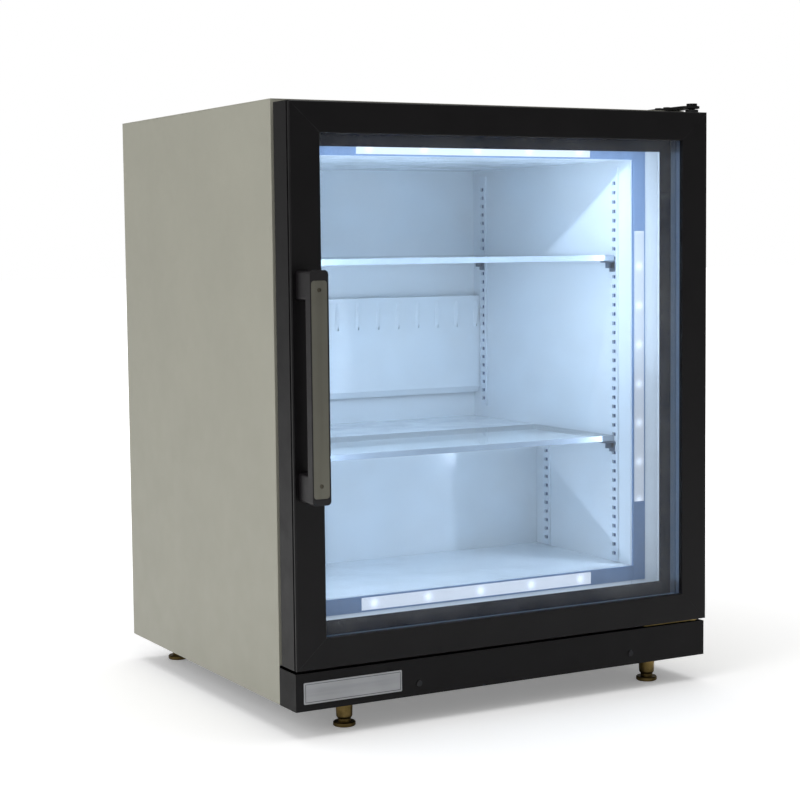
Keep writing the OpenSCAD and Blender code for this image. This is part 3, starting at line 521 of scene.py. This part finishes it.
def door_gasket(materials):
    """Bellows gasket: a dart base, a folded neck and the magnet box that meets the cabinet rim."""
    low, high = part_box("door_gasket")
    front, back = low.y, high.y
    depth = back - front
    profile = [
        (0.0, front), (0.0, front + 0.14 * depth), (1.6 * MM, front + 0.18 * depth),
        (3.4 * MM, front + 0.34 * depth), (1.3 * MM, front + 0.50 * depth), (0.5 * MM, front + 0.60 * depth),
        (0.5 * MM, back - 0.3 * MM), (0.9 * MM, back), (11.2 * MM, back), (11.6 * MM, back - 0.3 * MM),
        (11.6 * MM, front + 0.60 * depth), (8.4 * MM, front + 0.50 * depth),
        (10.6 * MM, front + 0.34 * depth),
        (8.6 * MM, front + 0.18 * depth), (14.0 * MM, front + 0.14 * depth), (14.0 * MM, front),
    ]
    bm = bmesh.new()
    add_ring(bm, low, high, profile)
    made = piece("bellows_gasket", bm, materials["black_rubber"], "door")
    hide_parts("door_gasket")


def glass_border():
    """The black border printed on the inner pane."""
    low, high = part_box("glass_panes")
    margin, width, film = 0.2 * MM, 24.5 * MM, 0.12 * MM
    face = high.y - 3.3 * MM
    profile = [(margin, face - film), (width, face - film), (width, face), (margin, face)]
    bm = bmesh.new()
    add_ring(bm, low, high, profile)
    piece("printed_border", bm, printed_black("printed_black"), "door", flat=True)


def shelf_edges(body, node, material):
    """The ground rim of a shelf: a thin band round its edge, bright with a painted glow."""
    low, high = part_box(node)
    bm = bmesh.new()
    rim, chamfer = 0.1 * MM, 0.4 * MM
    for x0, x1, y0, y1 in (
        (low.x, high.x, low.y - rim, low.y), (low.x, high.x, high.y, high.y + rim),
        (low.x - rim, low.x, low.y, high.y), (high.x, high.x + rim, low.y, high.y),
    ):
        add_box(bm, (x0, y0, low.z + chamfer), (x1, y1, high.z - chamfer))
    return piece(node + "_ground_edge", bm, material, body, flat=True)


def badge_border():
    """A plain fine raised border on the blank badge."""
    low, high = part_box("badge_plate")
    bm = bmesh.new()
    inset = Vector((2.0, 0, 2.0)) * MM
    line = 0.7 * MM
    sunk, proud = low.y + 0.1 * MM, low.y - 0.15 * MM
    add_ring(bm, low + inset, high - inset, [(0, sunk), (0, proud), (line, proud), (line, sunk)])
    dark = metal("badge_line", srgb(96, 96, 98), 0.4)
    piece("badge_border", bm, dark, "cabinet", flat=True)


def air_louvres(materials):
    """Curved scoops moulded over the evaporator cover's outlets."""
    low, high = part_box("evaporator_cover")
    count, pitch = 11, 34 * MM
    first = high.x - 6 * MM - (count - 1) * pitch
    bottom, top = low.z + 92 * MM, high.z - 6 * MM
    face = low.y
    mouth = 1.4 * MM
    steps = 12
    bm = bmesh.new()
    for k in range(count):
        centre = first + k * pitch
        rows = []
        for i in range(steps + 1):
            t = i / steps
            swell = math.sin(math.pi * t)
            z = bottom + t * (top - bottom)
            lean = -2.5 * MM * (1 - t) ** 2 + 1.0 * MM
            proud = 0.3 * MM + 3.0 * MM * swell
            wide = 2.8 * MM + 1.5 * MM * swell ** 0.7
            rows.append([bm.verts.new((centre + lean - wide, face, z)),
                         bm.verts.new((centre + lean - wide * 0.3, face - proud * 0.8, z)),
                         bm.verts.new((centre + lean + mouth, face - proud, z)),
                         bm.verts.new((centre + lean + mouth, face - proud + (0.1 + 0.9 * swell) * MM, z)),
                         bm.verts.new((centre + lean - wide * 0.2, face, z))])
        for lower, upper in zip(rows, rows[1:]):
            for i in range(5):
                j = (i + 1) % 5
                bm.faces.new((lower[i], lower[j], upper[j], upper[i]))
        bm.faces.new(rows[0])
        bm.faces.new(list(reversed(rows[-1])))
    return piece("air_louvres", bm, materials["white_liner"], "cabinet")


def cover_skirt(materials):
    """The evaporator cover's lower lip, which curls back to the wall, and the flange at its right side."""
    low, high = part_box("evaporator_cover")
    depth, drop = 6 * MM, 9 * MM
    profile = (
        (0, 0), (0.35 * depth, -0.30 * drop), (0.75 * depth, -0.75 * drop), (depth, -drop), (depth, 0),
    )
    count = len(profile)
    bm = bmesh.new()
    ends = [[bm.verts.new((x, low.y + y, low.z + z)) for y, z in profile] for x in (low.x, high.x)]
    for i in range(count):
        j = (i + 1) % count
        bm.faces.new((ends[0][i], ends[0][j], ends[1][j], ends[1][i]))
    bm.faces.new(ends[0])
    bm.faces.new(list(reversed(ends[1])))
    lap, sheet, gap = 0.5 * MM, 0.6 * MM, 0.2 * MM
    side_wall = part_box("liner_panels")[1].x - LINER_WALL - gap
    add_box(bm, (high.x - lap, low.y + sheet, low.z), (side_wall, low.y + 2 * sheet, high.z))
    return piece("cover_skirt", bm, materials["white_liner"], "cabinet")


def standard_slot_shade():
    """Dark strips behind the slots of each shelf standard: painted shade standing in for the shadow inside
    their hollow.
    """
    low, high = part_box("pilasters")
    width, skin, end_gap, half_width = 8.3 * MM, 0.15 * MM, 6 * MM, 8 * MM
    spans = (
        (low.y + half_width, low.z, high.z), (high.y - half_width, low.z + 192 * MM, high.z),
        (low.y + 177 * MM, low.z, low.z + 167 * MM),
    )
    bm = bmesh.new()
    for y, bottom, top in spans:
        for wall in (low.x, high.x):
            inward = skin if wall < 0 else -skin
            edges = sorted((wall, wall + inward))
            add_box(bm, (edges[0], y - width / 2, bottom + end_gap), (edges[1], y + width / 2, top - end_gap))
    # Painted shade: a dark blue colour where the real standard has only shadow inside.
    colour = (0.10, 0.14, 0.24)
    look = Look("slot_painted_shade", colour, 0.8, Specular_IOR_Level=0.1)
    look.tint(look.noise(80, 3), scaled(colour, 0.8), scaled(colour, 1.3))
    look.relief(look.noise(400, 2), 0.00005)
    return piece("standard_slot_shade", bm, look.material, "cabinet", flat=True)


def front_sill(materials):
    """The folded sheet and the plastic floor that close the front edge under the door opening; the sheet's
    black finish is painted shade for the dark gap under the door.
    """
    low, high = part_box("foam_insulation")
    rim_low, rim_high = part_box("front_frame")
    sheet, gap, lap = 0.4 * MM, 0.1 * MM, 0.5 * MM
    bm = bmesh.new()
    add_box(bm, (low.x, low.y - gap - sheet, low.z), (high.x, low.y - gap, rim_low.z + lap), 0.1 * MM)
    # Painted shade: the black finish stands in for the shadow in the gap under the door.
    piece("front_sill", bm, materials["black_steel"], "cabinet", flat=True)
    inset, margin = 2.1 * MM, 0.2 * MM
    bm = bmesh.new()
    add_box(bm, (rim_low.x + inset, low.y - gap, rim_low.z + margin),
            (rim_high.x - inset, rim_high.y - inset, rim_low.z + 1.8 * MM), margin)
    piece("rim_floor", bm, materials["white_plastic"], "cabinet", flat=True)


def soften_cad_nodes():
    """Edge widths in millimetres for the nodes whose edges catch the light."""
    edge_widths = {
        "side_panel_left": 0.8, "side_panel_right": 0.8, "top_panel": 0.6, "back_panel": 0.3,
        "kick_plate": 0.5, "front_frame": 0.8, "base_frame": 0.5, "badge_plate": 0.25,
        "door_stile_handle": 0.5, "door_stile_hinge": 0.5, "door_rail_top": 0.4, "door_rail_bottom": 0.4,
        "handle_body": 0.6, "handle_insert": 0.4, "led_channels": 0.4, "bottom_hinge_bracket": 0.4,
        "pilasters": 0.25, "shelf_clips": 0.4, "evaporator_cover": 0.5, "control_box": 0.4,
        "shelf_upper": 0.4, "shelf_lower": 0.4, "bottom_panels": 0.4,
    }
    for node, width in edge_widths.items():
        soften(node, width * MM)


# ---------------------------------------------------------------- camera, stage and light


def make_camera():
    """A camera at the viewing angle of a front three-quarter product shot."""
    yaw, pitch, roll = math.radians(28.957), math.radians(4.802), math.radians(-0.615)
    forward = Vector((math.sin(yaw) * math.cos(pitch), math.cos(yaw) * math.cos(pitch), -math.sin(pitch)))
    level = Vector((math.cos(yaw), -math.sin(yaw), 0))
    above = level.cross(forward)
    right = level * math.cos(roll) + above * math.sin(roll)
    up = above * math.cos(roll) - level * math.sin(roll)
    data = bpy.data.cameras.new("camera")
    data.lens = 83.79
    data.sensor_width = 36
    data.clip_end = 100
    camera = bpy.data.objects.new("camera", data)
    turn = Matrix((right, up, -forward)).transposed().to_4x4()
    camera.matrix_world = Matrix.Translation((-1.2490, -2.2154, 0.5914)) @ turn
    bpy.context.scene.collection.objects.link(camera)
    bpy.context.scene.camera = camera


def make_floor():
    """A large pale floor at the feet."""
    bm = bmesh.new()
    bmesh.ops.create_grid(bm, x_segments=8, y_segments=8, size=30)
    mesh = bpy.data.meshes.new("floor")
    bm.to_mesh(mesh)
    bm.free()
    floor = bpy.data.objects.new("floor", mesh)
    look = Look("floor_white", (0.93, 0.93, 0.93), 0.8)
    look.tint(look.noise(2, 2), (0.92, 0.92, 0.92), (0.94, 0.94, 0.94))
    reach = look.node("ShaderNodeVectorMath", operation="LENGTH")
    look.link(look.coords, reach.inputs[0])
    lift = look.spread(reach.outputs["Value"], 0.22, 1.0, 0.7, 3.0)
    seen = look.node("ShaderNodeLightPath").outputs["Is Camera Ray"]
    look.link(look.maths("MULTIPLY", lift, seen), look.shader.inputs["Emission Strength"])
    look.shader.inputs["Emission Color"].default_value = (1, 1, 1, 1)
    floor.data.materials.append(look.material)
    floor.location.z = cad_low.z - 0.0002
    bpy.context.scene.collection.objects.link(floor)


def make_world():
    """Even studio surround; the backdrop that shows is plain white."""
    world = bpy.data.worlds.new("studio")
    bpy.context.scene.world = world
    world.use_nodes = True
    nodes, links = world.node_tree.nodes, world.node_tree.links
    soft = nodes["Background"]
    soft.inputs["Color"].default_value = (1, 1, 1, 1)
    soft.inputs["Strength"].default_value = 0.5
    backdrop = nodes.new("ShaderNodeBackground")
    backdrop.inputs["Color"].default_value = (1, 1, 1, 1)
    backdrop.inputs["Strength"].default_value = 1.0
    mirrored = nodes.new("ShaderNodeBackground")
    mirrored.inputs["Color"].default_value = (1, 1, 1, 1)
    mirrored.inputs["Strength"].default_value = 0.28
    path = nodes.new("ShaderNodeLightPath")
    surround = nodes.new("ShaderNodeMixShader")
    links.new(path.outputs["Is Glossy Ray"], surround.inputs[0])
    links.new(soft.outputs[0], surround.inputs[1])
    links.new(mirrored.outputs[0], surround.inputs[2])
    mix = nodes.new("ShaderNodeMixShader")
    links.new(path.outputs["Is Camera Ray"], mix.inputs[0])
    links.new(surround.outputs[0], mix.inputs[1])
    links.new(backdrop.outputs[0], mix.inputs[2])
    links.new(mix.outputs[0], nodes["World Output"].inputs["Surface"])


def add_light(name, place, target, size, power, colour=(1, 1, 1)):
    """A rectangular area light at place that looks at target."""
    data = bpy.data.lights.new(name, "AREA")
    data.shape = "RECTANGLE"
    data.size, data.size_y = size
    data.energy = power
    data.color = colour
    light = bpy.data.objects.new(name, data)
    light.location = place
    light.rotation_euler = (Vector(target) - Vector(place)).to_track_quat("-Z", "Y").to_euler()
    light.visible_camera = False
    bpy.context.scene.collection.objects.link(light)
    return light


def make_studio():
    add_light("overhead", (0, 0, 4.0), (0, 0, 0), (4, 4), 95)
    add_light("key_left", (-3.4, -0.8, 2.2), (-0.3, 0.05, 0.4), (2.2, 2.2), 45)


def light_group(name, members):
    """The objects that a light may reach, as a collection of its own outside the scene."""
    group = bpy.data.collections.new(name)
    for member in members:
        group.objects.link(member)
    return group


def make_bar_light(inner_pieces):
    """The light that the four bars throw into the cabinet; the liner's front edge cuts it off sharply."""
    inside = ("liner_panels", "evaporator_cover", "pilasters", "shelf_clips", "shelf_upper", "shelf_lower")
    lined = light_group("lit_by_bars", [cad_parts[node] for node in inside] + list(inner_pieces))
    low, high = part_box("liner_panels")
    beyond = 5.2 * MM - LINER_WALL
    left, right = low.x - beyond, high.x + beyond
    bottom, top = low.z - beyond, high.z + beyond
    mid_z = (bottom + top) / 2
    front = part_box("led_lenses")[0].y - 8.5 * MM
    inward, back = 0.2, front + 0.25
    upright, level, strip = 367 * MM, 349 * MM, 0.6 * MM
    for name, place, aim, size, power in (
        ("bar_left", (left, front, mid_z), (left + inward, back, mid_z), (strip, upright), 0.6),
        ("bar_right", (right, front, mid_z), (right - inward, back, mid_z), (strip, upright), 0.6),
        ("bar_top", (0, front, top), (0, back, top - inward), (level, strip), 0.72),
        ("bar_bottom", (0, front, bottom), (0, back, bottom + inward), (level, strip), 0.26),
    ):
        bar = add_light(name, place, aim, size, power, BLUE_WHITE)
        bar.light_linking.receiver_collection = lined


def make_glow():
    """The soft light that the door glass sends back, and a little more of it on the rim alone."""
    rim = light_group("lit_rim", [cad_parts["front_frame"]])
    liner_low, liner_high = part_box("liner_panels")
    mid_z = (liner_low.z + liner_high.z) / 2
    low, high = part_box("glass_panes")
    y = high.y + 4 * MM
    wide, tall = high.x - low.x, high.z - low.z
    for name, z, share, power, colour, receivers in (
        ("upper_glow", mid_z + tall / 4, 0.5, 1.24, SOFT_BLUE_WHITE, None),
        ("lower_glow", mid_z - tall / 4, 0.5, 0.42, SOFT_BLUE_WHITE, None),
        ("rim_glow", mid_z, 1.0, 0.9, RIM_WHITE, rim),
    ):
        glow = add_light(name, (0, y, z), (0, y + 1, z), (wide, tall * share), power, colour)
        glow.visible_glossy = False
        if receivers:
            glow.light_linking.receiver_collection = receivers


def make_view():
    """Plain display colours, so that a white floor stays white."""
    bpy.context.scene.view_settings.view_transform = "Standard"


# ---------------------------------------------------------------- build

materials = make_materials()
dress_cad_nodes(materials)
soften_cad_nodes()
door_gasket(materials)
glass_border()
painted_glow_edge = ground_edge("shelf_ground_edge")
upper_rim = shelf_edges("upper_shelf", "shelf_upper", painted_glow_edge)
lower_rim = shelf_edges("lower_shelf", "shelf_lower", painted_glow_edge)
badge_border()
front_sill(materials)
louvres = air_louvres(materials)
slots = standard_slot_shade()
skirt = cover_skirt(materials)
make_camera()
make_floor()
make_world()
make_studio()
make_bar_light((upper_rim, lower_rim, louvres, slots, skirt))
make_glow()
make_view()
